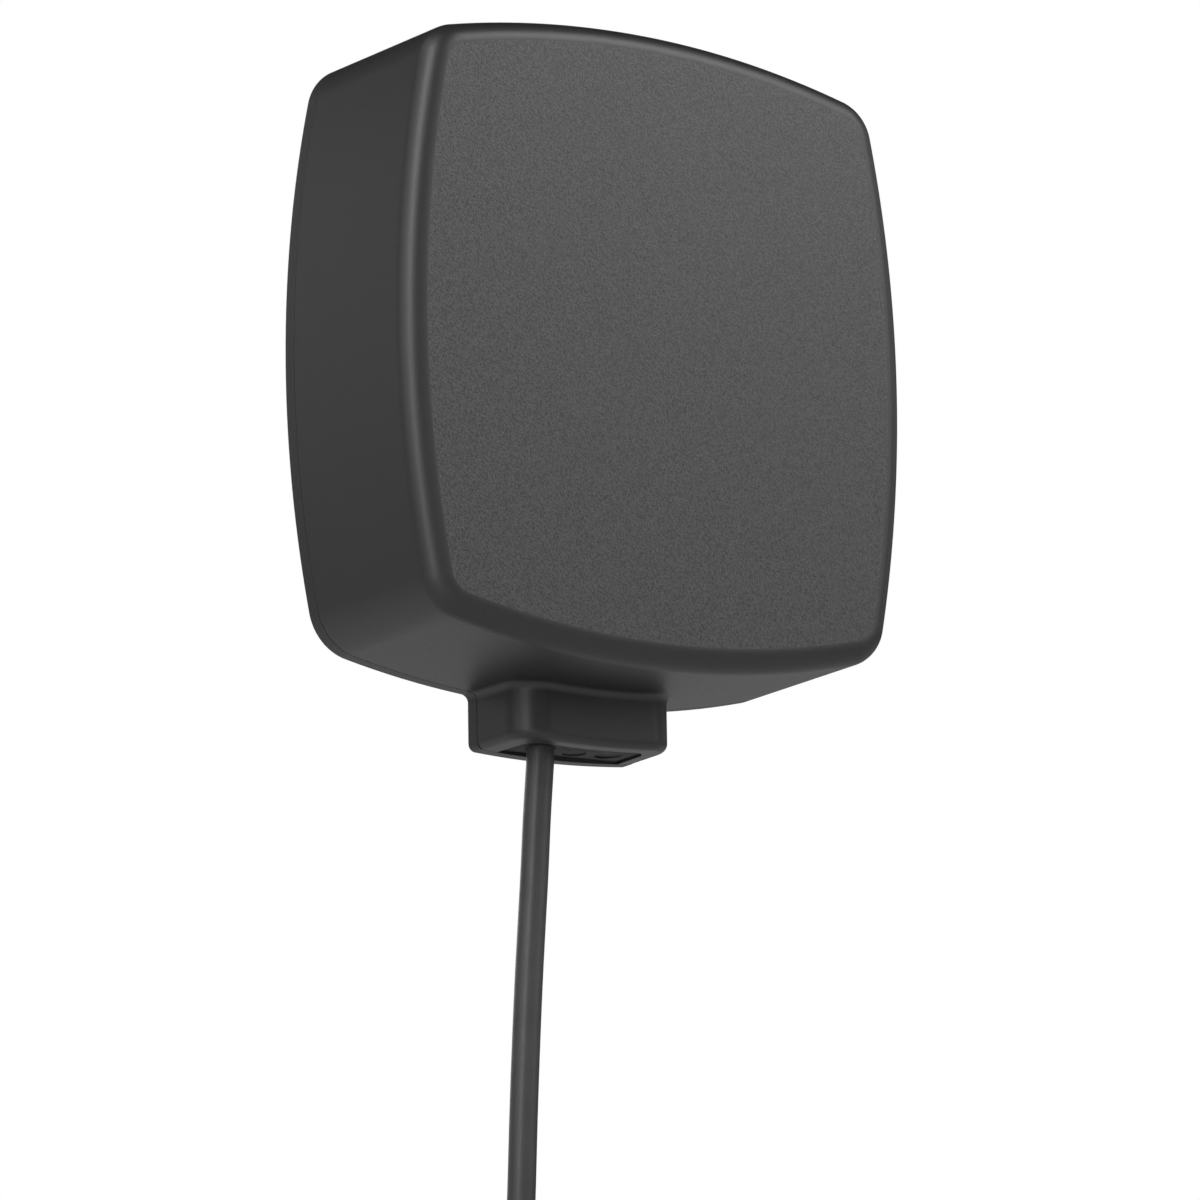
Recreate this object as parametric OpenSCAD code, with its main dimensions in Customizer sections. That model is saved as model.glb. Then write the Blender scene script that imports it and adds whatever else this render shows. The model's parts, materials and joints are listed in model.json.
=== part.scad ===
// Wall-mounted GNSS receiver: bowed housing with a back plate, a bottom cable outlet,
// a stacked patch antenna over a receiver board, and a coiled lead with a screw connector.
// +Z is up, the front faces -Y, and the origin is the middle of the back face.

/* [Housing] */
// Width across the bowed sides
housing_w = 100; // [96:1:104]
// Height over the bowed top and bottom
housing_h = 107.6; // [104:0.2:112]
// Depth from the wall to the front face
housing_d = 35.3; // [35:0.1:38]
// How far each side bows out
side_bow = 7; // [6:0.5:8]
// How far the top and bottom bow out
top_bow = 7.5; // [6.5:0.5:8.5]
// Radius of the four upright corners
corner_r = 8.9; // [8:0.1:10]
// Radius of the edge round the front face
front_edge_r = 3.75; // [3:0.25:4.5]
// Draft angle of the moulded walls, in degrees
draft_angle = 2.1; // [1.5:0.1:2.5]
// Thickness of the cover's walls
wall_t = 2.4; // [2.2:0.1:2.6]
// Thickness of the back plate
plate_t = 2.7; // [2.6:0.1:2.8]

/* [Cable outlet] */
// Width of the outlet at the wall
outlet_w = 31.4; // [31:0.1:32]
// Depth of the outlet from the wall
outlet_d = 16; // [15.8:0.1:16.5]
// How far the outlet stands below the housing
outlet_drop = 9.1; // [9:0.1:9.6]
// Radius of the outlet's two front corners
outlet_corner_r = 5.5; // [5:0.1:6]
// Width of the opening that the rubber insert fills
port_w = 23; // [22.8:0.1:23.4]
// Front edge of that opening, measured from the wall
port_d = 12.6; // [12.4:0.1:12.8]

/* [Cable] */
// Diameter of the cable
cable_dia = 4.5; // [4.4:0.1:4.6]
// Mean radius of the stored coil
coil_r = 25; // [24:0.5:26]
// Layers of turns from the inside of the coil to the outside
coil_layers = 5; // [5:1:5]
// Turns side by side in each layer
coil_rows = 3; // [3:1:3]
// Spacing of neighbouring turns
turn_pitch = 4.6; // [4.6:0.1:4.7]

/* [Mounting] */
// Spacing of the four threaded bracket inserts, both ways
bracket_pitch = 40; // [36:1:42]
// Radius of the bore of an M4 threaded insert
insert_bore_r = 1.65; // [1.6:0.01:1.7]

/* [Antenna] */
// Side of the lower ceramic patch
lower_patch_w = 45; // [40:1:48]
// Side of the upper ceramic patch
upper_patch_w = 25; // [22:1:27]
// Thickness of each ceramic patch
patch_t = 4; // [3:0.5:4]

/* [Hidden] */
$fn = 48;
eps = 0.01;

half_w = housing_w / 2;
half_h = housing_h / 2;
side_r = (half_h * half_h + side_bow * side_bow) / (2 * side_bow);
top_r = (half_w * half_w + top_bow * top_bow) / (2 * top_bow);
side_c = side_r - half_w;
top_c = top_r - half_h;
arc_span = norm([side_c, top_c]);
arc_dir = [side_c, -top_c] / arc_span;
arc_along = (pow(side_r - corner_r, 2) - pow(top_r - corner_r, 2) + pow(arc_span, 2)) / (2 * arc_span);
arc_across = sqrt(pow(side_r - corner_r, 2) - pow(arc_along, 2));
// Centre of the upper right corner's arc, where the screw post stands too
corner_c = [-side_c, 0] + arc_along * arc_dir + arc_across * [-arc_dir.y, arc_dir.x];
side_end = atan2(corner_c.y, corner_c.x + side_c);
top_start = atan2(corner_c.y + top_c, corner_c.x);

outlet_low = half_h + outlet_drop;
outlet_bow_r = 180;
wall_depth = housing_d - front_edge_r;
cavity_d = housing_d - wall_t;
port_corner_r = 3.5;

cable_r = cable_dia / 2;
cable_at = [-6.6, 7.6];
port_face = outlet_low - 0.4;
blank_ports = [[0.4, 6.9, 2.0], [6.95, 7.4, 2.35]];

board_back = 10;
board_t = 1.6;
board_front = board_back + board_t;
board_w = 78;
board_h = 80;
standoff_at = 30;
ground_back = 21.6;
ground_t = 1.2;
ground_front = ground_back + ground_t;
electrode_t = 0.1;
lower_top = ground_front + patch_t;
upper_base = lower_top + electrode_t;
upper_top = upper_base + patch_t;
lna_t = 1;
lna_back = ground_back - lna_t;
upper_feed = [3, 0];
lower_feed = [0, -15];
pin_r = 0.45;
stud_r = 1.25;
screw_head_r = 2.75;

coil_c = [-18, -191];
back_row_d = 3.6;
coil_half = coil_layers * turn_pitch / 2;
tail_x = coil_c.x + coil_r - (coil_layers - 1) / 2 * turn_pitch;
plug_at = [tail_x, 15];
plug_top = 246;
nut_top = 279;
nut_bore_r = 4.95;
// Route of the lead from the outlet to the coil
lead_route = [
    [-6.6, -7.6, -62.5], [-6.6, -7.6, -63.5], [-6.9, -7.7, -66.5], [-7.5, -7.8, -73], [-8.3, -8, -83],
    [-9, -8, -92], [-9.6, -8, -100], [-10.3, -8, -111], [-10.9, -8, -122], [-11.4, -8, -133],
    [-11.6, -7.7, -141], [-10.9, -6.8, -148], [-8.7, -5.3, -153.3], [-5.2, -4, -157.7], [-0.9, -3.6, -161.4]
];
// Route of the tail from the coil to the connector
tail_route = [
    [-4.2, -14.2, -183.5], [-2.6, -16, -188], [-2.2, -17.4, -194], [-2.2, -17.6, -204],
    [-2.2, -17.6, -216], [-2.2, -17.2, -226], [-2.2, -15.8, -235], [-2.2, -15, -243], [-2.2, -15, -246]
];

// A quarter of the housing's outline, moved in by t, as two long arcs and a corner arc
function quarter(t) = concat(
    [for (i = [0:9]) let (a = side_end * i / 10)
        [-side_c + (side_r - t) * cos(a), (side_r - t) * sin(a)]],
    [for (i = [0:8]) let (a = side_end + (top_start - side_end) * i / 8)
        corner_c + (corner_r - t) * [cos(a), sin(a)]],
    [for (i = [1:10]) let (a = top_start + (90 - top_start) * i / 10)
        [(top_r - t) * cos(a), -top_c + (top_r - t) * sin(a)]]
);
function flipped(list) = [for (i = [len(list) - 1:-1:0]) list[i]];
function outline(t) = let (q = quarter(t), n = len(q)) concat(
    q,
    [for (i = [n - 2:-1:0]) [-q[i].x, q[i].y]],
    [for (i = [1:n - 1]) [-q[i].x, -q[i].y]],
    [for (i = [n - 2:-1:1]) [q[i].x, -q[i].y]]
);
function level(t, d) = [for (p = outline(t)) [p.x, p.y, d]];
function taper(d) = d * tan(draft_angle);

// The outlet's outline seen from below, between two depths, moved in by t
function outlet_side(d, t) = outlet_w / 2 - t - taper(d);
function outlet_outline(d0, t) = let (
        r = outlet_corner_r - t, front = outlet_d - t, x = outlet_side(outlet_d, t) - r
    ) concat(
        [[outlet_side(d0, t), -d0]],
        [for (i = [0:8]) [x + r * cos(i * 90 / 8), -(front - r) - r * sin(i * 90 / 8)]],
        [for (i = [8:-1:0]) [-x - r * cos(i * 90 / 8), -(front - r) - r * sin(i * 90 / 8)]],
        [[-outlet_side(d0, t), -d0]]
    );

// Draws in the plane of the front face: x across, y up, z forwards from the wall
module forward() {
    rotate([90, 0, 0]) children();
}

module at_corners(x, y) {
    for (sx = [-1, 1], sy = [-1, 1]) translate([sx * x, sy * y, 0]) children();
}

// A closed skin over a stack of outlines that all have the same number of points
module loft(rings) {
    n = len(rings[0]);
    last = len(rings) - 1;
    polyhedron(
        points = [for (ring = rings) each ring],
        faces = concat(
            [[for (i = [0:n - 1]) i]],
            [for (k = [0:last - 1], i = [0:n - 1])
                [k * n + i, (k + 1) * n + i, (k + 1) * n + (i + 1) % n, k * n + (i + 1) % n]],
            [[for (i = [n - 1:-1:0]) last * n + i]]
        )
    );
}

// A round tube through the points of a route
module tube(route, r, sides, across) {
    last = len(route) - 1;
    loft([for (k = [0:last]) let (
            t = route[min(k + 1, last)] - route[max(k - 1, 0)],
            u = cross(t, across) / norm(cross(t, across)),
            v = cross(u, t) / norm(cross(u, t))
        ) [for (i = [0:sides - 1]) route[k] + r * (cos(360 * i / sides) * u + sin(360 * i / sides) * v)]]);
}

// The outlet's block between two depths, with its bowed bottom
module outlet_block(d0, t, low, high) {
    intersection() {
        translate([0, 0, -low - 1]) linear_extrude(high + low + 1) intersection() {
            polygon(outlet_outline(d0, t));
            translate([-outlet_w, -outlet_d]) square([2 * outlet_w, outlet_d - d0]);
        }
        translate([0, 1, outlet_bow_r - low]) rotate([90, 0, 0]) cylinder(r = outlet_bow_r, h = outlet_d + 2, $fn = 360);
    }
}

// The outlet's opening, seen from below and moved in by t
module port_outline(t) {
    r = port_corner_r - t;
    difference() {
        union() {
            for (s = [-1, 1]) translate([s * (port_w / 2 - port_corner_r), -port_d + port_corner_r]) circle(r = r);
            translate([-port_w / 2 + t, -port_d + port_corner_r])
                square([port_w - 2 * t, port_d - port_corner_r - plate_t]);
            translate([-port_w / 2 + port_corner_r, -port_d + t])
                square([port_w - 2 * port_corner_r, port_corner_r]);
        }
    }
}

module front_cover() color("#3b3b3c") {
    inner = wall_t + 0.1;
    difference() {
        union() {
            forward() loft(concat(
                [level(inner + taper(wall_depth), cavity_d), level(inner + taper(plate_t), plate_t)],
                [level(taper(plate_t), plate_t)],
                [for (i = [0:6]) let (a = i * 90 / 6) level(
                    taper(wall_depth) + front_edge_r * (1 - cos(a)), wall_depth + front_edge_r * sin(a))]
            ));
            outlet_block(plate_t, 0, outlet_low, -half_h + 3.8);
            forward() at_corners(corner_c.x, corner_c.y)
                translate([0, 0, plate_t]) cylinder(r = 3.6, h = cavity_d - plate_t + 0.3);
        }
        outlet_block(plate_t - 1, 2.2, outlet_low - 2, -half_h + 5);
        translate([0, 0, -outlet_low - 1]) linear_extrude(4) port_outline(0);
        translate([-port_w / 2, -plate_t - 1, -outlet_low - 1]) cube([port_w, 1.1, 4]);
        forward() at_corners(corner_c.x, corner_c.y)
            translate([0, 0, plate_t - 1]) cylinder(r = stud_r, h = 11);
    }
}

module back_plate() color("#3a3a3b") {
    forward_boss = board_back - plate_t;
    difference() {
        union() {
            forward() {
                linear_extrude(plate_t) polygon(outline(0));
                translate([0, 0, plate_t - 0.1]) {
                    at_corners(standoff_at, standoff_at) cylinder(r = 4, h = forward_boss + 0.1);
                    at_corners(bracket_pitch / 2, bracket_pitch / 2) cylinder(r = 4.5, h = 6.4);
                    translate([cable_at.x - 8, -50, 0]) cube([16, 5, cable_at.y - plate_t + 0.1]);
                }
            }
            intersection() {
                outlet_block(0, 0, outlet_low, -half_h + 3);
                translate([-outlet_w, -plate_t, -outlet_low - 1]) cube([2 * outlet_w, plate_t, outlet_drop + 5]);
            }
        }
        forward() {
            translate([0, 0, plate_t - 1]) seal_ring(1.1);
            at_corners(standoff_at, standoff_at) translate([0, 0, 4]) cylinder(r = stud_r, h = 7);
            at_corners(bracket_pitch / 2, bracket_pitch / 2) {
                translate([0, 0, -1]) cylinder(r = 2.8, h = 7);
                translate([0, 0, 5.9]) cylinder(r = 2.1, h = 1.9);
            }
            at_corners(corner_c.x, corner_c.y) {
                translate([0, 0, -1]) cylinder(r = 1.6, h = plate_t + 2);
                translate([0, 0, -eps])
                    cylinder(r1 = screw_head_r + 0.05, r2 = 1.65, h = screw_head_r - 1.6);
            }
            translate([0, 34, -1]) cylinder(r = 1.5, h = plate_t + 2);
            for (s = [-1, 1]) translate([cable_at.x + s * 5.5, -47.5, plate_t]) cylinder(r = 1.1, h = 6);
        }
        translate([cable_at.x, -cable_at.y, -51]) cylinder(r = cable_r, h = 7);
    }
}

// The seal's band, which lies in a groove of the back plate under the cover's rim
module seal_ring(h) {
    linear_extrude(h) difference() {
        polygon(outline(0.9));
        polygon(outline(2.1));
    }
}

module housing_seal() color("#1c1c1c") {
    forward() translate([0, 0, plate_t - 1]) seal_ring(1);
}

module cover_screws() color("#9a9a9a") {
    forward() at_corners(corner_c.x, corner_c.y) difference() {
        union() {
            cylinder(r1 = screw_head_r, r2 = 1.6, h = screw_head_r - 1.6);
            translate([0, 0, 1]) cylinder(r = stud_r, h = 10.2);
        }
        translate([0, 0, -1]) cylinder(r = 1.1, h = 1.8, $fn = 6);
    }
}

module bracket_inserts() color("#b58a3c") {
    forward() at_corners(bracket_pitch / 2, bracket_pitch / 2) difference() {
        union() {
            cylinder(r = 2.8, h = 2.4);
            cylinder(r = 2.5, h = 3.6);
            translate([0, 0, 3.5]) cylinder(r = 2.8, h = 2.4);
        }
        translate([0, 0, -1]) cylinder(r = insert_bore_r, h = 8);
    }
}

module vent_membrane() color("#e6e6e2") {
    forward() translate([0, 34, plate_t]) cylinder(r = 4.5, h = 0.4);
}

module cable_grommet() color("#262626") {
    difference() {
        union() {
            translate([0, 0, -port_face]) linear_extrude(port_face - outlet_low + 2.2) port_outline(0.15);
            intersection() {
                outlet_block(plate_t, 2.4, outlet_low - 2.1, -51);
                translate([-outlet_w, -outlet_d, -outlet_low]) cube([2 * outlet_w, outlet_d - plate_t, 20]);
            }
        }
        translate([cable_at.x, -cable_at.y, -outlet_low - 1]) cylinder(r = cable_r, h = 20);
        translate([cable_at.x, -cable_at.y, -outlet_low - 1]) cylinder(r = cable_r + 0.2, h = 2);
        for (p = blank_ports) translate([p.x, -p.y, -outlet_low - 1]) cylinder(r = p.z, h = 20);
    }
}

module blanking_plugs() color("#222222") {
    for (p = blank_ports) translate([p.x, -p.y, -port_face + 0.3]) cylinder(r = p.z, h = 8);
}

module cable_clamp() color("#d8d8d4") {
    difference() {
        translate([cable_at.x - 8, -cable_at.y - 3.8, -50]) cube([16, 3.8, 5]);
        translate([cable_at.x, -cable_at.y, -51]) cylinder(r = cable_r, h = 7);
        forward() for (s = [-1, 1]) translate([cable_at.x + s * 5.5, -47.5, 6]) cylinder(r = 1.3, h = 8);
    }
}

module clamp_screws() color("#9a9a9a") {
    top = cable_at.y + 3.8;
    forward() for (s = [-1, 1]) translate([cable_at.x + s * 5.5, -47.5, 0]) difference() {
        union() {
            translate([0, 0, plate_t + 0.2]) cylinder(r = 1.1, h = top - plate_t);
            translate([0, 0, top]) cylinder(r = 2.1, h = 1.5);
        }
        translate([0, 0, top + 0.6]) cylinder(r = 1, h = 1, $fn = 6);
    }
}

module cable_inside() color("#2e2e2e") {
    translate([cable_at.x, -cable_at.y, -port_face]) cylinder(r = cable_r, h = port_face - 43);
}

module conductors() color("#b04a3a") {
    for (i = [0:4]) let (
            start = [cable_at.x + 1.3 * sin(72 * i), -cable_at.y + 1.3 * cos(72 * i), -43],
            end = [cable_at.x + 3.2 * sin(72 * i), -7.4, -38]
        )
        tube([start, start + [0, 0, 1], (start + end) / 2, end - [0, 0, 1], end], 0.45, 8, [0, 1, 0]);
}

module wire_plug() color("#e8e4d8") {
    translate([cable_at.x - 5.2, -9.2, -38]) cube([10.4, 3.5, 10.8]);
}

module board_header() color("#f0ede2") {
    difference() {
        translate([cable_at.x - 6.3, -board_back, -33]) cube([12.6, 5.1, 8]);
        translate([cable_at.x - 5.3, -9.3, -34]) cube([10.6, 3.7, 6.9]);
    }
}

module receiver_board() color("#1f5b3a") {
    forward() translate([0, 0, board_back]) difference() {
        linear_extrude(board_t) difference() {
            square([board_w, board_h], center = true);
            at_corners(corner_c.x, corner_c.y) circle(r = 5);
            at_corners(standoff_at, standoff_at) circle(r = 1.6);
        }
    }
}

module gnss_module() color("#c9cac8") {
    forward() translate([-14, 10, board_front]) {
        translate([-8.5, -11, 0]) cube([17, 22, 0.8]);
        translate([-8, -10.5, 0.8]) cube([16, 21, 1.6]);
    }
}

// A pressed metal can, open towards the board that it stands on
module can(w, h, d, t) {
    difference() {
        translate([-w / 2, -h / 2, 0]) cube([w, h, d]);
        translate([-w / 2 + t, -h / 2 + t, -1]) cube([w - 2 * t, h - 2 * t, d - t + 1]);
    }
}

module board_shield() color("#d0d1cf") {
    forward() translate([14, 20, board_front]) can(22, 18, 3, 0.3);
}

module interface_chip() color("#202022") {
    forward() translate([-12, -17, board_front]) {
        translate([-3.5, -3.5, 0.1]) cube([7, 7, 1]);
        for (a = [0:90:270], i = [-3:3]) rotate([0, 0, a]) translate([3.4, i * 0.8 - 0.15, 0]) cube([0.9, 0.3, 0.3]);
    }
}

module oscillator() color("#c8b070") {
    forward() translate([2, 6, board_front]) {
        translate([-2.5, -1.6, 0]) cube([5, 3.2, 0.6]);
        translate([-2.2, -1.3, 0.6]) cube([4.4, 2.6, 0.5]);
    }
}

module power_inductor() color("#3d3f42") {
    forward() translate([10, -26, board_front]) {
        translate([-3.5, -3.5, 0]) cube([7, 7, 0.8]);
        cylinder(r = 3.3, h = 3.5);
    }
}

module capacitors() color("#8f9396") {
    forward() for (y = [-20, -12, -4]) translate([24, y, board_front]) {
        translate([-3.2, -3.2, 0]) cube([6.4, 6.4, 0.7]);
        cylinder(r = 3.1, h = 5);
    }
}

module backup_cell() color("#b9bbbd") {
    forward() translate([-22, -5 - 8, board_front]) cylinder(r = 4.5, h = 2.2);
}

module board_standoffs() color("#b58a3c") {
    forward() at_corners(standoff_at, standoff_at) difference() {
        union() {
            translate([0, 0, board_front]) cylinder(r = 3.1, h = ground_back - board_front, $fn = 6);
            translate([0, 0, 4.2]) cylinder(r = stud_r, h = board_front - 4);
        }
        translate([0, 0, ground_back - 5]) cylinder(r = stud_r, h = 6);
    }
}

module ground_plane() color("#b7b9ba") {
    forward() translate([0, 0, ground_back]) linear_extrude(ground_t) difference() {
        square([70, 70], center = true);
        at_corners(35, 35) rotate(45) square(4, center = true);
        at_corners(standoff_at, standoff_at) circle(r = 1.6);
        translate(upper_feed) circle(r = 0.9);
        translate(lower_feed) circle(r = 0.9);
    }
}

module antenna_screws() color("#9a9a9a") {
    forward() at_corners(standoff_at, standoff_at) difference() {
        union() {
            translate([0, 0, ground_front - 5.5]) cylinder(r = stud_r, h = 5.6);
            translate([0, 0, ground_front]) cylinder(r = screw_head_r, h = 1.8);
        }
        translate([0, 0, ground_front + 0.8]) cylinder(r = 1.4, h = 1.1, $fn = 6);
    }
}

module lna_board() color("#1f5b3a") {
    forward() translate([0, 0, lna_back]) linear_extrude(lna_t) difference() {
        square([36, 36], center = true);
        translate(upper_feed) circle(r = pin_r);
        translate(lower_feed) circle(r = pin_r);
    }
}

module lna_shield() color("#d0d1cf") {
    forward() translate([0, 0, lna_back]) mirror([0, 0, 1]) can(24, 24, 3.2, 0.3);
}

// One square ceramic patch with the holes of the feed pins that pass it
module patch(w, feeds) {
    linear_extrude(patch_t) difference() {
        square([w, w], center = true);
        for (f = feeds) translate(f) circle(r = pin_r);
    }
}

module electrode(w, feeds) {
    linear_extrude(electrode_t) difference() {
        square([w, w], center = true);
        at_corners(w / 2, w / 2) rotate(45) square(2.5, center = true);
        for (f = feeds) translate(f) circle(r = pin_r);
    }
}

module lower_patch() color("#c9b79a") {
    forward() translate([0, 0, ground_front]) patch(lower_patch_w, [upper_feed, lower_feed]);
}

module lower_electrode() color("#dcdcd8") {
    forward() translate([0, 0, lower_top]) electrode(lower_patch_w - 5, [upper_feed, lower_feed]);
}

module upper_patch() color("#cbb99d") {
    forward() translate([0, 0, upper_base]) patch(upper_patch_w, [upper_feed]);
}

module upper_electrode() color("#dcdcd8") {
    forward() translate([0, 0, upper_top]) electrode(upper_patch_w - 4, [upper_feed]);
}

module feed_pins() color("#c7c9c8") {
    forward() for (f = [[upper_feed, upper_top + electrode_t], [lower_feed, upper_base]]) translate(f[0]) {
        translate([0, 0, lna_back - 0.4]) cylinder(r = pin_r, h = f[1] - lna_back + 0.5);
        translate([0, 0, f[1]]) cylinder(r = 0.9, h = 0.4);
    }
}

module antenna_coax() color("#4a4a4a") {
    tube([
        [-2.4, -13, -14.5], [1, -13, -14.5], [4.5, -13.3, -14.5], [7.5, -14.6, -14.5], [9.5, -16.6, -14.5],
        [11, -18.3, -14.5], [12.1, -19.2, -14.5], [13.2, -19.4, -14.5]
    ], 0.6, 8, [0, 0, 1]);
}

module coax_plugs() color("#c9a24b") {
    forward() {
        translate([-4, -14.5, board_front]) cylinder(r = 1.6, h = 2.2);
        translate([14.8, -14.5, lna_back - 2.2]) cylinder(r = 1.6, h = 2.2);
    }
}

module cable_lead() color("#464646") {
    tube(lead_route, cable_r, 10, [0, 1, 0]);
}

module cable_coil() color("#464646") {
    depth = (coil_rows - 1) * turn_pitch + cable_dia;
    edge = cable_r;
    translate([coil_c.x, cable_r - back_row_d, coil_c.y]) rotate([90, 0, 0]) rotate_extrude() difference() {
        translate([coil_r - coil_half, 0]) square([2 * coil_half, depth]);
        for (s = [-1, 1], top = [0, 1]) translate([coil_r + s * coil_half, top * depth])
            rotate(45) square(edge * 0.8, center = true);
    }
}

module cable_tail() color("#464646") {
    tube(tail_route, cable_r, 10, [1, 0, 0]);
}

module coil_ties() color("#2b2b2b") {
    depth = (coil_rows - 1) * turn_pitch + cable_dia;
    tie_t = 1;
    tie_w = 8;
    for (a = [105, 255]) translate([coil_c.x, cable_r - back_row_d, coil_c.y]) rotate([0, -a, 0])
        difference() {
            translate([coil_r - coil_half - tie_t - 0.1, -depth - tie_t - 0.1, -tie_w / 2])
                cube([2 * (coil_half + tie_t + 0.1), depth + 2 * tie_t + 0.2, tie_w]);
            translate([coil_r - coil_half - 0.6, -depth - 0.1, -tie_w])
                cube([2 * coil_half + 0.9, depth + 0.2, 2 * tie_w]);
        }
}

// Places a piece of the connector on its axis, d below the origin's level
module plug_level(d) {
    translate([plug_at.x, -plug_at.y, -d]) children();
}

module connector_boot() color("#2c2c2c") {
    difference() {
        union() {
            plug_level(plug_top + 13) cylinder(r1 = 4.8, r2 = 3.1, h = 13.5);
            plug_level(nut_top) cylinder(r = 5.6, h = nut_top - plug_top - 12.9);
        }
        plug_level(nut_top + 1) cylinder(r = 4.2, h = 6);
        plug_level(plug_top) cylinder(r = cable_r, h = 2);
        for (a = [0:30:330]) plug_level(nut_top - 3) rotate([0, 0, a]) translate([5.9, 0, 0]) cylinder(r = 0.6, h = 13);
    }
}

module connector_core() color("#1e1e1e") {
    difference() {
        union() {
            plug_level(nut_top) cylinder(r = 4.2, h = 5);
            plug_level(nut_top + 5.5) cylinder(r = 4.85, h = 5.5);
        }
        plug_level(nut_top + 2.7) difference() {
            cylinder(r = 6, h = 1.2);
            translate([0, 0, -1]) cylinder(r = 4.3, h = 4);
        }
        pin_places() plug_level(nut_top + 6) cylinder(r = 0.5, h = 12);
    }
}

// The five contacts of an M12 insert: four on a circle and one in the middle
module pin_places() {
    children();
    for (a = [45:90:315]) translate([2.4 * cos(a), 2.4 * sin(a), 0]) children();
}

module connector_pins() color("#c9a24b") {
    pin_places() plug_level(nut_top + 12) {
        cylinder(r = 0.5, h = 16.8);
        translate([0, 0, -0.3]) cylinder(r1 = 0.25, r2 = 0.5, h = 0.3);
    }
}

module nut_snap_ring() color("#a9abac") {
    plug_level(nut_top + 2.6) difference() {
        cylinder(r = 5.5, h = 1);
        translate([0, 0, -1]) cylinder(r = 4.3, h = 3);
        translate([3, -1, -1]) cube([4, 2, 3]);
    }
}

module coupling_nut() color("#b4b6b8") {
    difference() {
        union() {
            plug_level(nut_top + 7.6) cylinder(r = 7.3, h = 7.4);
            plug_level(nut_top + 13.6) cylinder(r = 6, h = 6.1);
        }
        plug_level(nut_top + 15) cylinder(r = nut_bore_r, h = 16);
        plug_level(nut_top + 2.75) cylinder(r = 5.6, h = 1.3);
        plug_level(nut_top + 8.6) difference() {
            cylinder(r = 6.1, h = 1);
            translate([0, 0, -1]) cylinder(r = 5.5, h = 3);
        }
        for (a = [0:15:345]) plug_level(nut_top + 6.6) rotate([0, 0, a]) translate([7.5, 0, 0])
            cylinder(r = 0.55, h = 5.6);
    }
}

module nut_seal() color("#1c1c1c") {
    plug_level(nut_top + 8.1) rotate_extrude() translate([6, 0]) circle(r = 0.5);
}

front_cover();
back_plate();
housing_seal();
cover_screws();
bracket_inserts();
vent_membrane();
cable_grommet();
blanking_plugs();
cable_clamp();
clamp_screws();
cable_inside();
conductors();
wire_plug();
board_header();
receiver_board();
gnss_module();
board_shield();
interface_chip();
oscillator();
power_inductor();
capacitors();
backup_cell();
board_standoffs();
ground_plane();
antenna_screws();
lna_board();
lna_shield();
lower_patch();
lower_electrode();
upper_patch();
upper_electrode();
feed_pins();
antenna_coax();
coax_plugs();
cable_lead();
cable_coil();
cable_tail();
coil_ties();
connector_boot();
connector_core();
connector_pins();
nut_snap_ring();
coupling_nut();
nut_seal();
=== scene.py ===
"""Looks of a wall-mounted GNSS receiver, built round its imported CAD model.

Lengths named here are in millimetres and become metres when a mesh is made. X is to the right,
Z is up, the front faces -Y, and "depth" is the distance forwards from the wall.
"""
import json
import math

import bmesh
import bpy
import numpy as np
from mathutils import Matrix, Vector
from mathutils.geometry import interpolate_bezier


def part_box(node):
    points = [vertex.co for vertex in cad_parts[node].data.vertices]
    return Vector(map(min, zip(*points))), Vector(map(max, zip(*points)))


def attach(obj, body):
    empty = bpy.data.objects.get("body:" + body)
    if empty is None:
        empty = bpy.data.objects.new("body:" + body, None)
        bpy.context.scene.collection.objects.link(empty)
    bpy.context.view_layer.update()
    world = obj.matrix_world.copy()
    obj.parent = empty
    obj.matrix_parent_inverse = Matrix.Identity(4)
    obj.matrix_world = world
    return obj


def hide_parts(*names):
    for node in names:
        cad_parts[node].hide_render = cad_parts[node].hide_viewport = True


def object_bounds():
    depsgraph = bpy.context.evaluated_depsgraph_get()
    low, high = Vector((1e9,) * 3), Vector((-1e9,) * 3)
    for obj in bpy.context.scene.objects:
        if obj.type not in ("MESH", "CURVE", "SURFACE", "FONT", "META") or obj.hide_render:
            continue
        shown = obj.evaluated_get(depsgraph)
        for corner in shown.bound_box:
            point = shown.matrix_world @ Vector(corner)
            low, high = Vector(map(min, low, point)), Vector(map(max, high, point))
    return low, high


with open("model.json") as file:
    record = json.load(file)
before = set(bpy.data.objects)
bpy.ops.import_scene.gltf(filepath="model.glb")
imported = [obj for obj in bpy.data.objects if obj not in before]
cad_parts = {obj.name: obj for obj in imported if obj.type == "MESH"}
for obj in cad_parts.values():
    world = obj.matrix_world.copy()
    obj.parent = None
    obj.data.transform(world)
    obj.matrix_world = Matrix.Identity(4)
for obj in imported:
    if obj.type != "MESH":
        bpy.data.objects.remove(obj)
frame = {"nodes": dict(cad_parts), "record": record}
cad_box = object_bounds()
MM = 0.001
SLOTS = {part["node"]: part["material_slot"] for part in frame["record"]["subparts"]}

# ------------------------------------------------------------------ camera

# The photograph's view: where the camera stands, its two axes across the picture, and its lens.
CAMERA_AT = Vector((-434.6, -649.4, -196.6)) * MM
CAMERA_RIGHT = Vector((0.82627, -0.56309, -0.01439))
CAMERA_UP = Vector((-0.10202, -0.17473, 0.97932))
CAMERA_LENS = 145.0


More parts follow.
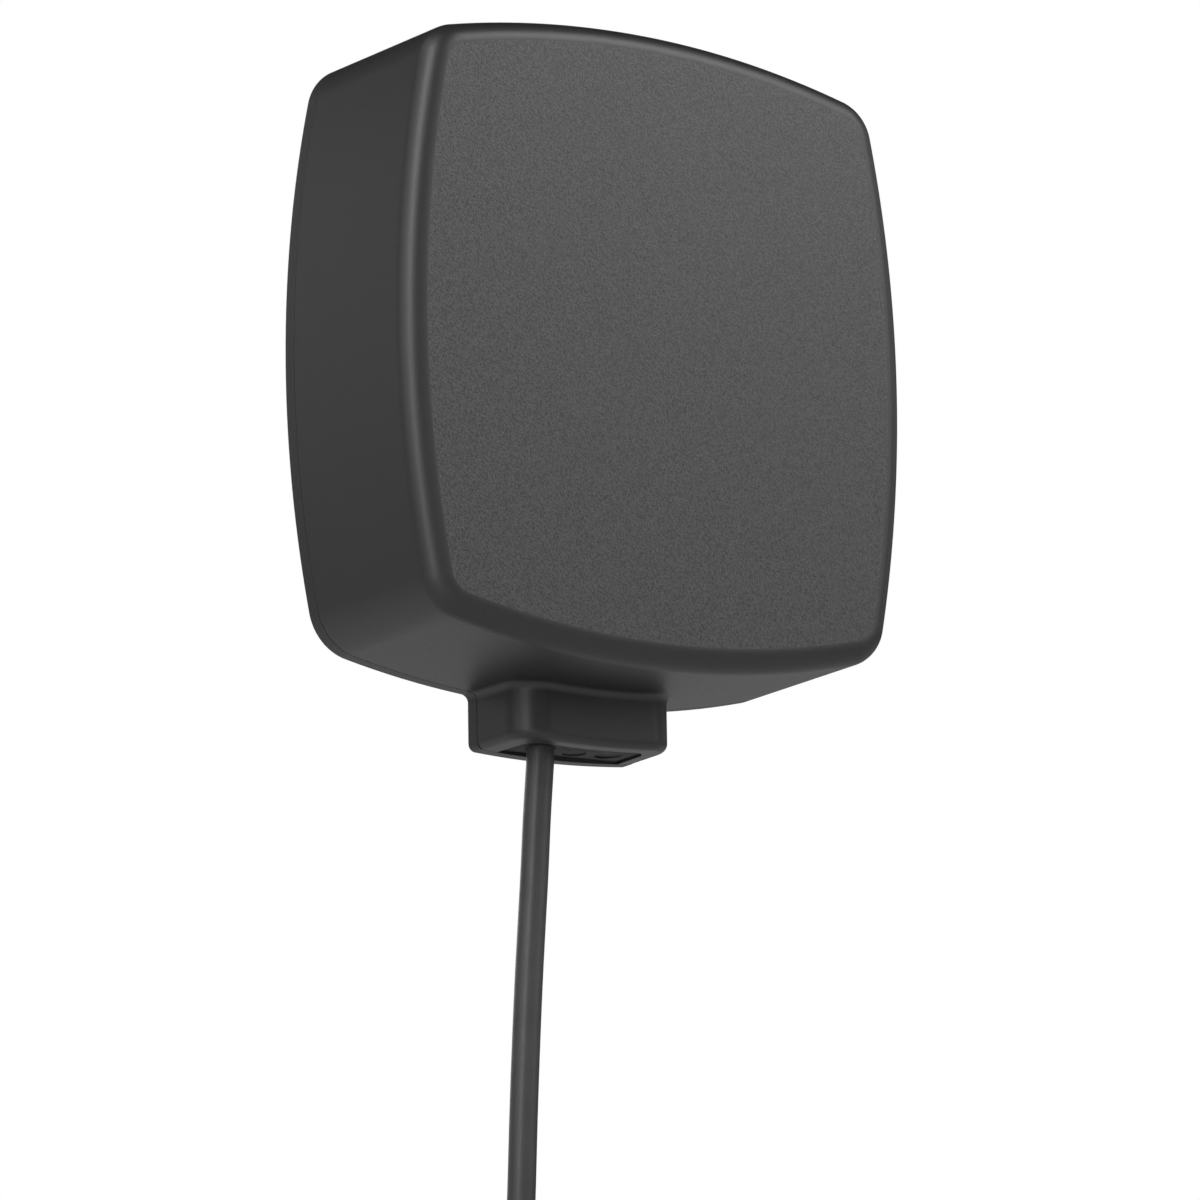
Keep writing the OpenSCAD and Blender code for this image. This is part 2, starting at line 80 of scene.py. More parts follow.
def make_camera():
    """The scene's camera, in front of the housing, to its left and a little below it."""
    data = bpy.data.cameras.new("camera")
    data.sensor_width = 36.0
    data.lens = CAMERA_LENS
    data.clip_start, data.clip_end = 0.05, 30.0
    camera = bpy.data.objects.new("camera", data)
    bpy.context.scene.collection.objects.link(camera)
    right, up = CAMERA_RIGHT.normalized(), CAMERA_UP.normalized()
    turn = Matrix((right, up, right.cross(up))).transposed().to_4x4()
    camera.matrix_world = Matrix.Translation(CAMERA_AT) @ turn
    bpy.context.scene.camera = camera


make_camera()

# ------------------------------------------------------------------ mesh helpers


def link(name, data):
    piece = bpy.data.objects.new(name, data)
    bpy.context.scene.collection.objects.link(piece)
    return piece


class Skin:
    """Collects grids of points in millimetres and welds them into one mesh."""

    def __init__(self):
        self.points, self.faces, self.kinds = [], [], []

    def grid(self, rows, closed=False, kind=0):
        """Quads over rows of points. closed joins each row's last point to its first."""
        rows = [np.asarray(r, float) for r in rows]
        start, n = len(self.points), len(rows[0])
        for row in rows:
            self.points.extend(row)
        for k in range(len(rows) - 1):
            for i in range(n if closed else n - 1):
                a, b = start + k * n + i, start + k * n + (i + 1) % n
                self.faces.append((a, b, b + n, a + n))
                self.kinds.append(kind)

    def plate(self, ring, kind=0):
        """One flat face with many corners."""
        start = len(self.points)
        self.points.extend(np.asarray(ring, float))
        self.faces.append(tuple(range(start, len(self.points))))
        self.kinds.append(kind)

    def disc(self, ring, kind=0):
        """Fills a flat ring with shrinking rings round its middle."""
        ring = np.asarray(ring, float)
        middle = ring.mean(0)
        rows = [middle + (ring - middle) * share for share in (1.0, 0.8, 0.55, 0.3, 0.1)]
        self.grid(rows, closed=True, kind=kind)
        start = len(self.points)
        self.points.extend(list(rows[-1]) + [middle])
        n = len(ring)
        for i in range(n):
            self.faces.append((start + i, start + (i + 1) % n, start + n))
            self.kinds.append(kind)

    def solid(self, name, weld=2e-4, cap=False):
        """The welded mesh as a smooth-shaded object in metres, with its normals outwards.

        cap closes it with flat faces between its open edges, which lie in one plane."""
        bm = bmesh.new()
        points = [bm.verts.new(p) for p in self.points]
        for face, kind in zip(self.faces, self.kinds):
            bm.faces.new([points[i] for i in face]).material_index = kind
        bmesh.ops.remove_doubles(bm, verts=bm.verts, dist=weld)
        bmesh.ops.dissolve_degenerate(bm, edges=bm.edges, dist=weld)
        if cap:
            rim = [edge for edge in bm.edges if len(edge.link_faces) == 1]
            bmesh.ops.triangle_fill(bm, edges=rim, use_beauty=True)
        bmesh.ops.recalc_face_normals(bm, faces=bm.faces)
        bmesh.ops.scale(bm, vec=(MM, MM, MM), verts=bm.verts)
        mesh = bpy.data.meshes.new(name)
        bm.to_mesh(mesh)
        bm.free()
        piece = link(name, mesh)
        shade(piece)
        return piece


SHARP_ANGLE = 35.0
SOFTENED_ANGLE = 50.0


def shade(piece, angle=SHARP_ANGLE):
    """Smooth shading, with hard edges where faces meet at more than an angle."""
    bm = bmesh.new()
    bm.from_mesh(piece.data)
    limit = math.radians(angle)
    for edge in bm.edges:
        edge.smooth = len(edge.link_faces) == 2 and edge.calc_face_angle(0.0) < limit
    for face in bm.faces:
        face.smooth = True
    bm.to_mesh(piece.data)
    bm.free()


def apply_modifiers(piece):
    """Replaces the mesh by what its modifiers make of it."""
    bpy.context.view_layer.update()
    graph = bpy.context.evaluated_depsgraph_get()
    made = bpy.data.meshes.new_from_object(piece.evaluated_get(graph))
    piece.modifiers.clear()
    old, piece.data = piece.data, made
    made.name = piece.name
    bpy.data.meshes.remove(old)


def combine(piece, others, operation):
    """Adds the other solids to a piece, or takes them out of it, and throws them away."""
    for other in others:
        modifier = piece.modifiers.new("combine", "BOOLEAN")
        modifier.operation, modifier.solver, modifier.object = operation, "EXACT", other
    apply_modifiers(piece)
    for other in others:
        bpy.data.objects.remove(other)
    shade(piece)


def soften(piece, width):
    """Rounds the sharp edges of a piece."""
    modifier = piece.modifiers.new("edges", "BEVEL")
    modifier.width, modifier.segments = width * MM, 2
    modifier.limit_method, modifier.angle_limit = "ANGLE", math.radians(SHARP_ANGLE)
    apply_modifiers(piece)
    shade(piece, SOFTENED_ANGLE)


def turned(name, rows, at=(0, 0, 0), steps=64, forwards=False, closed=False):
    """A solid of revolution through rows of (radius, height), where a radius may be one per step.

    Its axis points up, or forwards. A closed one is a ring, and its rows run once round its section."""
    angles = np.arange(steps) * 2 * math.pi / steps
    rings = []
    for radius, height in rows:
        across, along = radius * np.cos(angles), radius * np.sin(angles)
        level = np.full(steps, float(height))
        ring = (across, -level, along) if forwards else (across, along, level)
        rings.append(np.stack(ring, axis=1) + np.array(at, float))
    skin = Skin()
    skin.grid(rings + rings[:1] if closed else rings, closed=True)
    return skin.solid(name, weld=1e-4)


def round_corner(centre, radius, start, end, steps=4):
    """(radius, height) rows along an arc of a section, between two angles in degrees."""
    angles = np.radians(np.linspace(start, end, steps + 1))
    return [(centre[0] + radius * math.cos(a), centre[1] + radius * math.sin(a)) for a in angles]


# ------------------------------------------------------------------ materials


class Surface:
    """A procedural material on a Principled shader, with sizes in millimetres of the object."""

    def __init__(self, name, **settings):
        self.material = bpy.data.materials.new(name)
        self.material.use_nodes = True
        self.nodes, self.links = self.material.node_tree.nodes, self.material.node_tree.links
        self.shader = self.nodes["Principled BSDF"]
        for socket, value in settings.items():
            self.shader.inputs[socket.replace("_", " ")].default_value = value
        self.place = self.nodes.new("ShaderNodeTexCoord").outputs["Object"]
        self.relief = None

    def node(self, kind, inputs, **settings):
        """A new node, with its inputs linked to other nodes or set to values."""
        made = self.nodes.new(kind)
        for key, value in settings.items():
            setattr(made, key, value)
        for socket, value in inputs.items():
            if isinstance(value, bpy.types.NodeSocket):
                self.links.new(value, made.inputs[socket])
            else:
                made.inputs[socket].default_value = value
        return made

    def stretched(self, stretch):
        """Object coordinates in millimetres, with features longer along the axes given as more than 1."""
        scale = [1 / (MM * s) for s in stretch]
        return self.node("ShaderNodeMapping", {"Vector": self.place, "Scale": scale}).outputs[0]

    def noise(self, size, detail=3.0, stretch=(1, 1, 1)):
        """Noise with features of about this size."""
        inputs = {"Vector": self.stretched(stretch), "Scale": 1 / size, "Detail": detail}
        return self.node("ShaderNodeTexNoise", inputs).outputs[0]

    def cells(self, size):
        """Distance from the middles of cells of about this size."""
        inputs = {"Vector": self.stretched((1, 1, 1)), "Scale": 1 / size}
        return self.node("ShaderNodeTexVoronoi", inputs).outputs["Distance"]

    def waves(self, pitch, direction):
        """Straight ridges, a pitch apart along an axis."""
        inputs = {"Vector": self.stretched((1, 1, 1)), "Scale": math.pi / (10 * pitch)}
        return self.node("ShaderNodeTexWave", inputs, bands_direction=direction).outputs["Fac"]

    def worn(self):
        """From 0 on flat and hollow places to 1 on outer edges."""
        point = self.nodes.new("ShaderNodeNewGeometry").outputs["Pointiness"]
        return self.span(point, 0.0, 1.0, 0.52, 0.6)

    def span(self, value, low, high, start=0.3, end=0.7):
        """Maps a value between start and end to a range."""
        inputs = {"Value": value, "From Min": start, "From Max": end, "To Min": low, "To Max": high}
        return self.node("ShaderNodeMapRange", inputs).outputs[0]

    def times(self, a, b):
        return self.node("ShaderNodeMath", {0: a, 1: b}, operation="MULTIPLY").outputs[0]

    def tint(self, value, dark, light, start=0.3, end=0.7):
        """A colour between two by a value."""
        ramp = self.node("ShaderNodeValToRGB", {"Fac": value})
        for stop, place, colour in zip(ramp.color_ramp.elements, (start, end), (dark, light)):
            stop.position, stop.color = place, (*colour, 1.0)
        return ramp.outputs["Color"]

    def mix(self, share, colour, other):
        """One colour under another, by a share."""
        mixer = self.nodes.new("ShaderNodeMix")
        mixer.data_type = "RGBA"
        self.links.new(share, mixer.inputs[0])
        for socket, value in ((mixer.inputs[6], colour), (mixer.inputs[7], other)):
            if isinstance(value, bpy.types.NodeSocket):
                self.links.new(value, socket)
            else:
                socket.default_value = (*value, 1.0)
        return mixer.outputs[2]

    def colour(self, value):
        self.links.new(value, self.shader.inputs["Base Color"])

    def rough(self, value):
        self.links.new(value, self.shader.inputs["Roughness"])

    def bump(self, value, height, strength=1.0):
        """Relief of a height in millimetres, on top of any relief before it."""
        inputs = {"Height": value, "Distance": height * MM, "Strength": strength}
        if self.relief is not None:
            inputs["Normal"] = self.relief
        self.relief = self.node("ShaderNodeBump", inputs).outputs[0]
        self.links.new(self.relief, self.shader.inputs["Normal"])


def around(colour, spread):
    """A darker and a lighter colour round one."""
    return [tuple(c * s for c in colour) for s in (1 - spread, 1 + spread)]


def moulded(name, colour, rough, grain, height, wear, **settings):
    """Moulded plastic or rubber: fine grain, faint flow marks, and edges polished lighter.

    grain is the grain's size and height its relief. wear is the share of polish on outer edges."""
    s = Surface(name, **settings)
    grains, flow = s.noise(grain, 2.0), s.noise(14.0, 3.0)
    dark, light = around(colour, 0.09)
    body = s.tint(flow, dark, light)
    edge = tuple(min(1.0, c * 1.6 + 0.01) for c in colour)
    s.colour(s.mix(s.times(s.worn(), wear), body, edge))
    s.rough(s.span(s.noise(grain * 3, 4.0), *rough))
    s.bump(flow, 0.02, 0.35)
    s.bump(grains, height)
    return s.material


def metal(name, colour, rough, stretch=(1, 1, 1)):
    """Plated or bare metal: fine tool marks, stains and brighter edges."""
    s = Surface(name, Metallic=1.0)
    marks, stain = s.noise(0.25, 3.0, stretch), s.noise(2.5, 4.0)
    dark, light = around(colour, 0.12)
    bright = tuple(min(1.0, c * 1.25) for c in colour)
    s.colour(s.mix(s.times(s.worn(), 0.5), s.tint(stain, dark, light), bright))
    s.rough(s.span(marks, *rough))
    s.bump(marks, 0.004, 0.6)
    return s.material


def eroded(name, dark, light, rough, height, wear, **settings):
    """Spark-eroded plastic: an even fine grain, faint flow marks, and edges polished lighter.

    The grain runs from the dark grey to the light one."""
    s = Surface(name, **settings)
    grains, flow = s.noise(0.32, 2.0), s.noise(18.0, 2.0)
    body = s.mix(s.span(grains, 0.0, 1.0), s.tint(flow, *around(dark, 0.05)), light)
    edge = tuple(c + 0.015 for c in light)
    s.colour(s.mix(s.times(s.worn(), wear), body, edge))
    s.rough(s.span(s.noise(0.45, 3.0), *rough))
    s.bump(grains, height)
    return s.material


def cable_jacket():
    """Extruded jacket: drawn faintly along its length, with a soft sheen."""
    s = Surface("cable_jacket")
    skin, rub = s.noise(0.5, 3.0, (1, 1, 6)), s.noise(6.0, 4.0)
    s.colour(s.tint(rub, (0.031, 0.031, 0.0315), (0.039, 0.039, 0.0395)))
    s.rough(s.span(s.noise(2.0, 4.0), 0.42, 0.5))
    s.bump(skin, 0.012, 0.7)
    return s.material


def woven_tape():
    """Hook-and-loop tape: crossed threads with a fuzz of loops."""
    s = Surface("tie_fabric", Sheen_Weight=0.35, Sheen_Roughness=0.4)
    warp, weft = s.waves(0.7, "X"), s.waves(0.7, "Z")
    weave = s.times(warp, weft)
    fuzz = s.noise(0.25, 4.0)
    threads = s.tint(weave, (0.012, 0.012, 0.013), (0.035, 0.035, 0.037), 0.1, 0.8)
    s.colour(s.mix(fuzz, threads, (0.05, 0.05, 0.052)))
    s.rough(s.span(fuzz, 0.75, 0.95))
    s.bump(weave, 0.12, 0.7)
    s.bump(fuzz, 0.06, 0.7)
    return s.material


def circuit_board():
    """Green solder mask over tracks, with plated dots."""
    s = Surface("circuit_board", Coat_Weight=0.3, Coat_Roughness=0.2)
    tracks = s.node("ShaderNodeTexBrick", {"Vector": s.stretched((1, 1, 1)), "Scale": 0.35}).outputs["Fac"]
    dots = s.span(s.cells(2.4), 1.0, 0.0, 0.1, 0.14)
    mask = s.tint(tracks, (0.012, 0.1, 0.045), (0.03, 0.19, 0.08), 0.2, 0.8)
    s.colour(s.mix(dots, mask, (0.62, 0.5, 0.24)))
    s.rough(s.span(s.noise(0.8), 0.3, 0.42))
    s.bump(tracks, 0.03, 0.6)
    return s.material


def fired_ceramic():
    """Sandy ceramic with fine specks."""
    s = Surface("ceramic")
    speck = s.cells(0.6)
    s.colour(s.tint(speck, (0.52, 0.45, 0.33), (0.63, 0.56, 0.43), 0.1, 0.6))
    s.rough(s.span(s.noise(0.4, 4.0), 0.55, 0.75))
    s.bump(s.noise(0.3, 3.0), 0.01, 0.7)
    return s.material


# The imported materials go, so that the finishes can take their plain names.
for material in list(bpy.data.materials):
    bpy.data.materials.remove(material)

# Moulded finishes: colour, roughness from least to most, the grain's size and height, and polish on edges.
MOULDED = {
    "silicone": ((0.03, 0.03, 0.031), (0.4, 0.55), 0.8, 0.008, 0.1),
    "membrane": ((0.8, 0.8, 0.78), (0.75, 0.9), 0.3, 0.02, 0.0),
    "nylon": ((0.68, 0.67, 0.63), (0.38, 0.5), 0.6, 0.01, 0.2),
    "wire_jacket": ((0.42, 0.07, 0.05), (0.35, 0.5), 0.4, 0.008, 0.1),
    "chip_resin": ((0.02, 0.02, 0.021), (0.5, 0.65), 0.3, 0.01, 0.2),
    "ferrite": ((0.05, 0.052, 0.056), (0.6, 0.8), 0.25, 0.02, 0.3),
    "overmould": ((0.034, 0.034, 0.035), (0.5, 0.62), 0.45, 0.015, 0.3),
    "insert_resin": ((0.02, 0.02, 0.021), (0.4, 0.5), 0.4, 0.006, 0.3),
}
RUBBER = ((0.007, 0.007, 0.0072), (0.55, 0.7), 0.5, 0.012, 0.1)

# Metal finishes: colour, roughness from least to most, and how far tool marks are drawn out along X, Y, Z.
METALS = {
    "screw_steel": ((0.56, 0.56, 0.57), (0.24, 0.4), (1, 1, 6)),
    "brass": ((0.72, 0.53, 0.26), (0.22, 0.36)),
    "tin_can": ((0.7, 0.7, 0.69), (0.3, 0.45), (1, 1, 8)),
    "aluminium_can": ((0.72, 0.73, 0.74), (0.2, 0.35)),
    "aluminium_plate": ((0.66, 0.67, 0.68), (0.28, 0.45), (12, 1, 1)),
    "silver_film": ((0.78, 0.77, 0.74), (0.35, 0.5)),
    "pin_metal": ((0.74, 0.74, 0.73), (0.18, 0.3)),
    "contact_gold": ((0.83, 0.61, 0.24), (0.16, 0.28)),
    "nut_nickel": ((0.6, 0.6, 0.59), (0.2, 0.34), (1, 1, 5)),
}

# Spark-eroded finishes: the grain's dark and light, roughness from least to most, relief, and polish.
ERODED = {
    "cover_plastic": ((0.0112, 0.0112, 0.0115), (0.0148, 0.0148, 0.0151), (0.42, 0.48), 0.003, 0.1),
    "plate_plastic": ((0.008, 0.008, 0.0082), (0.014, 0.014, 0.0142), (0.46, 0.54), 0.01, 0.1),
}
COVER_FACE = ((0.01, 0.01, 0.0101), (0.051, 0.051, 0.0515), (0.42, 0.48), 0.04, 0.0)
PLATE_FACE = ((0.009, 0.009, 0.0091), (0.038, 0.038, 0.0385), (0.46, 0.54), 0.04, 0.0)

FINISHES = {name: moulded(name, *setting) for name, setting in MOULDED.items()}
FINISHES |= {name: metal(name, *setting) for name, setting in METALS.items()}
FINISHES |= {name: eroded(name, *setting) for name, setting in ERODED.items()}
FINISHES |= {
    "rubber": moulded("rubber", *RUBBER, Specular_IOR_Level=0.2),
    "cable_jacket": cable_jacket(),
    "circuit_board": circuit_board(),
    "ceramic": fired_ceramic(),
    "tie_fabric": woven_tape(),
}


def dress(piece, slot, *extra):
    """Gives a piece the finish named by a slot, then any further materials.

    Its larger faces lead the shading, so a small rounding doesn't shade the flat beside it."""
    if piece.type == "MESH":
        piece.modifiers.new("shading", "WEIGHTED_NORMAL").keep_sharp = True
    for material in (FINISHES[slot], *extra):
        piece.data.materials.append(material)


for node, part in frame["nodes"].items():
    for material_slot in part.material_slots:
        material_slot.material = FINISHES[SLOTS[node]]

# ------------------------------------------------------------------ lead, ties and connector

# The cable is a hair thicker than its CAD solids, so that neighbouring turns close up.
CABLE_R = 2.28
LEAD_ROUTE = [
    (-6.6, -7.6, -62.5), (-6.6, -7.6, -63.5), (-6.9, -7.7, -66.5), (-7.5, -7.8, -73), (-8.3, -8, -83),
    (-9, -8, -92), (-9.6, -8, -100), (-10.3, -8, -111), (-10.9, -8, -122), (-11.4, -8, -133),
    (-11.6, -7.7, -141), (-10.9, -6.8, -148), (-8.7, -5.3, -153.3), (-5.2, -4, -157.7),
]
TAIL_ROUTE = [
    (-4.2, -14.2, -183.5), (-2.6, -16, -188), (-2.2, -17.4, -194), (-2.2, -17.6, -204), (-2.2, -17.6, -216),
    (-2.2, -17.2, -226), (-2.2, -15.8, -235), (-2.2, -15, -243), (-2.2, -15, -246),
]
COIL_AT = np.array((-18.0, 0.0, -191.0))
COIL_R = 25.0
TURN_PITCH = 4.6
COIL_LAYERS, COIL_ROWS = 5, 3
BACK_ROW_Y = -3.6
COIL_START = 60.0
STEP_ANGLE = 70.0
TURN_POINTS = 24


def on_coil(radius, angle, y):
    """A point of the coil. Its angle is in degrees from +X towards +Z."""
    a = math.radians(angle)
    return COIL_AT + (radius * math.cos(a), y, radius * math.sin(a))


def coil_route():
    """Turns wound from the outer layer to the inner, to and fro across the rows.

    Each turn stays in its place until its last stretch, where it steps over to the next one's."""
    places = []
    for layer in range(COIL_LAYERS):
        radius = COIL_R + ((COIL_LAYERS - 1) / 2 - layer) * TURN_PITCH
        rows = range(COIL_ROWS) if layer % 2 == 0 else reversed(range(COIL_ROWS))
        places += [np.array((radius, BACK_ROW_Y - row * TURN_PITCH)) for row in rows]
    points = []
    for turn, here in enumerate(places):
        after = places[min(turn + 1, len(places) - 1)]
        for swept in np.arange(TURN_POINTS) * 360.0 / TURN_POINTS:
            share = min(max((swept - 360 + STEP_ANGLE) / STEP_ANGLE, 0.0), 1.0)
            radius, y = here + (after - here) * share * share * (3 - 2 * share)
            points.append(on_coil(radius, COIL_START - swept, y))
    inner, front = places[-1]
    return points + [on_coil(inner, COIL_START, front), on_coil(inner, COIL_START - 16, front - 0.5)]


def smoothed(points, steps=5):
    """More points, steps for each of these, on a smooth curve through them."""
    data = bpy.data.curves.new("route", "CURVE")
    data.dimensions = "3D"
    spline = data.splines.new("BEZIER")
    spline.bezier_points.add(len(points) - 1)
    for knot, point in zip(spline.bezier_points, points):
        knot.co = point
        knot.handle_left_type = knot.handle_right_type = "AUTO"
    guide = link("route", data)
    bpy.context.view_layer.update()
    knots = list(spline.bezier_points)
    found = [knots[0].co.copy()]
    for a, b in zip(knots, knots[1:]):
        found += interpolate_bezier(a.co, a.handle_right, b.handle_left, b.co, steps + 1)[1:]
    bpy.data.objects.remove(guide)
    bpy.data.curves.remove(data)
    return found


def make_cable():
    """The lead as one round curve. Its points carry the cable's radius, so its bevel is a whole metre."""
    points = smoothed(LEAD_ROUTE + coil_route() + TAIL_ROUTE)
    data = bpy.data.curves.new("lead_cable", "CURVE")
    data.dimensions = "3D"
    data.bevel_depth, data.bevel_resolution = 1.0, 9
    data.use_fill_caps = True
    spline = data.splines.new("POLY")
    spline.points.add(len(points) - 1)
    for knot, point in zip(spline.points, points):
        knot.co = (*(point * MM), 1.0)
        knot.radius = CABLE_R * MM
    spline.use_smooth = True
    cable = link("lead_cable", data)
    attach(cable, "receiver")
    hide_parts("cable_lead", "cable_coil", "cable_tail")
    dress(cable, "cable_jacket")
    return cable


# Where the ties are on the coil, their tape, and half of the room inside them, outwards and in depth.
TIE_ANGLES = (105, 255)
TIE_W, TIE_T, TIE_ROUND = 8.0, 1.0, 0.25
TIE_HALF_R, TIE_HALF_D, TIE_CORNER = 11.6, 6.95, 2.1
# The free end, as places along the tie and how far each is sunk into the tape under it.
LAP = ((-7.6, 0.35), (-6.5, 0.05), (0.0, 0.0), (7.5, 0.0))
TIE_MID_Y = BACK_ROW_Y - TURN_PITCH


def strap_section(width, thickness):
    """(across, out) points of a strap's section with rounded edges."""
    points = []
    for sx, sy, start in ((1, 1, 0), (-1, 1, 90), (-1, -1, 180), (1, -1, 270)):
        centre = (sx * (width / 2 - TIE_ROUND), thickness / 2 + sy * (thickness / 2 - TIE_ROUND))
        points += round_corner(centre, TIE_ROUND, start, start + 90, 3)
    return points


def strap(name, angle, path, section, whole):
    """A strap swept along (along, depth, outward along, outward depth) points round the bundle."""
    a = math.radians(angle)
    out, across = np.array((math.cos(a), 0, math.sin(a))), np.array((-math.sin(a), 0, math.cos(a)))
    rows = []
    for u, v, nu, nv in path:
        rows.append([
            COIL_AT + out * (u + o * nu) + np.array((0, v + o * nv, 0)) + across * w for w, o in section
        ])
    skin = Skin()
    skin.grid(rows + rows[:1] if whole else rows, closed=True)
    if not whole:
        skin.plate(rows[0])
        skin.plate(rows[-1])
    return skin.solid(name)


def make_tie(number, angle):
    """A strap of hook-and-loop tape round the coil, with its free end lying over itself in front."""
    loop = []
    for su, sv, start in ((1, 1, 0), (-1, 1, 90), (-1, -1, 180), (1, -1, 270)):
        u = COIL_R + su * (TIE_HALF_R - TIE_CORNER)
        v = TIE_MID_Y + sv * (TIE_HALF_D - TIE_CORNER)
        for a in np.radians(np.linspace(start, start + 90, 9)):
            nu, nv = math.cos(a), math.sin(a)
            loop.append((u + TIE_CORNER * nu, v + TIE_CORNER * nv, nu, nv))
    tie = strap(f"coil_tie_{number}", angle, loop, strap_section(TIE_W, TIE_T), True)
    front = TIE_MID_Y - TIE_HALF_D - TIE_T
    lap = [(COIL_R + along, front + sink, 0.0, -1.0) for along, sink in LAP]
    end = strap(f"coil_tie_{number}_end", angle, lap, strap_section(TIE_W - 0.6, TIE_T * 0.7), False)
    for piece in (tie, end):
        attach(piece, "receiver")
        dress(piece, "tie_fabric")
    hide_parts("coil_ties")
    return [tie, end]


boot_low, boot_high = (np.array(v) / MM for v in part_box("connector_boot"))
nut_low, nut_high = (np.array(v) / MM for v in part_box("coupling_nut"))
PLUG_X, PLUG_Y = (nut_low[:2] + nut_high[:2]) / 2
GRIP_R = (boot_high[0] - boot_low[0]) / 2
NUT_R = (nut_high[0] - nut_low[0]) / 2
NECK_R, SHOULDER_R, RELIEF_LONG = 3.1, 4.7, 13.0
RIBS, RIB_PITCH = 5, 2.35
FLUTES, KNURLS, GROOVE_DEEP = 12, 24, 0.5
CORE_R = 4.21
COLLAR_LONG = 7.4
THREAD_R, THREAD_PITCH, THREAD_DEEP = 6.0, 1.0, 0.58
THREAD_ROWS = 12
NUT_BORE_R = 4.95


def grooves(count, steps, sharp):
    """For each step round a body, how deep it lies in one of several rounded grooves, from 0 to 1."""
    turn = np.arange(steps) * 2 * math.pi / steps
    return ((1 + np.cos(count * turn)) / 2) ** sharp


def make_boot():
    """Overmould: a ribbed strain relief that widens into a fluted grip."""
    steps, top, bottom = 144, boot_high[2], boot_low[2]
    flute = GROOVE_DEEP * grooves(FLUTES, steps, 3)
    rows = [(0.0, top - 0.5), (CABLE_R + 0.02, top - 0.5), (CABLE_R + 0.02, top - 0.1), (2.5, top)]
    rows += round_corner((2.75, top - 0.35), 0.35, 90, 0, 3)
    slope = (SHOULDER_R - NECK_R) / RELIEF_LONG
    for rib in range(RIBS):
        z = top - 1.5 - RIB_PITCH * rib
        r = NECK_R + slope * (top - z)
        rows += round_corner((r - 0.25, z - 0.25), 0.25, 90, 0, 2) if rib else [(r, z)]
        rows += [(r + 0.05, z - 0.8)] + round_corner((r - 0.15, z - 1.0), 0.25, 0, -90, 2)
        rows += [(r - 0.75, z - 1.35), (r - 0.75, z - 2.0), (r - 0.55, z - 2.3)]
    z = top - RELIEF_LONG - 0.3
    rows += [(SHOULDER_R + 0.05, z), (SHOULDER_R + 0.25, z - 0.3)]
    rows += round_corner((GRIP_R - 0.9, z - 1.3), 0.9, 80, 0, 4)
    for share, depth in ((0.0, 2.0), (0.35, 2.6), (1.0, 4.0), (1.0, 15.0), (0.35, 16.6), (0.0, 17.2)):
        rows.append((GRIP_R - share * flute, z - depth))
    rows += round_corner((GRIP_R - 0.6, bottom + 0.6), 0.6, 0, -90, 4)
    rows += [(CORE_R, bottom), (CORE_R, bottom + 5), (0.0, bottom + 5)]
    boot = turned("connector_overmould", rows, (PLUG_X, PLUG_Y, 0), steps)
    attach(boot, "receiver")
    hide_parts("connector_boot")
    dress(boot, "overmould")
    return boot


def make_nut():
    """Coupling nut: a knurled collar over a sleeve with an outer screw thread."""
    steps, top, bottom = 192, nut_high[2], nut_low[2]
    knurl = GROOVE_DEEP * grooves(KNURLS, steps, 2)
    step = top - COLLAR_LONG
    rows = [(NUT_BORE_R, top - 0.25), (NUT_BORE_R + 0.25, top), (NUT_R - 0.9, top)]
    for share, lift, inset in ((0.0, 0.35, 0.35), (0.1, 0.8, 0.05), (0.8, 1.3, 0.0), (1.0, 1.9, 0.0)):
        rows.append((NUT_R - inset - share * knurl, top - lift))
    for share, lift, inset in ((1.0, 1.6, 0.0), (0.8, 1.0, 0.0), (0.1, 0.6, 0.05), (0.0, 0.25, 0.3)):
        rows.append((NUT_R - inset - share * knurl, step + lift))
    rows += [(NUT_R - 0.8, step), (5.5, step), (5.5, step - 1.0), (THREAD_R - 0.3, step - 1.0)]
    turn = np.arange(steps) / steps
    root = THREAD_R - THREAD_DEEP
    start, end = step - 1.3, bottom + 0.3
    for z in np.arange(start, end, -THREAD_PITCH / THREAD_ROWS):
        phase = (turn + z / THREAD_PITCH) % 1.0
        crest = np.clip(1.35 - 3.2 * np.abs(phase - 0.5), 0.0, 1.0)
        fade = min(1.0, (start - z) / 0.5, (z - end) / 0.4)
        rows.append((root + THREAD_DEEP * crest * fade, z))
    rows += [(root, end), (root - 0.15, bottom), (NUT_BORE_R + 0.15, bottom), (NUT_BORE_R, bottom + 0.2)]
    nut = turned("threaded_nut", rows, (PLUG_X, PLUG_Y, 0), steps, closed=True)
    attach(nut, "nut")
    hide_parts("coupling_nut")
    dress(nut, "nut_nickel")
    return nut


cable = make_cable()
ends = [make_boot(), make_nut()] + [p for i, a in enumerate(TIE_ANGLES) for p in make_tie(i + 1, a)]
ends += [frame["nodes"][n] for n in ("connector_core", "connector_pins", "nut_snap_ring", "nut_seal")]

# ------------------------------------------------------------------ housing outline

HALF_W, _, HALF_H = np.array(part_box("back_plate")[1]) / MM
DEPTH = -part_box("front_cover")[0].y / MM
PLATE_T = 2.7
SIDE_BOW, TOP_BOW = 7.0, 7.5
CORNER_R = 8.9
EDGE_R = 3.75
WALL_T = 2.4
DRAFT = math.tan(math.radians(2.1))
RIM_R = 0.06
PARTING_GAP = 0.1
RIM_D = PLATE_T + PARTING_GAP

SIDE_R = (HALF_H**2 + SIDE_BOW**2) / (2 * SIDE_BOW)
TOP_R = (HALF_W**2 + TOP_BOW**2) / (2 * TOP_BOW)
SIDE_C, TOP_C = SIDE_R - HALF_W, TOP_R - HALF_H


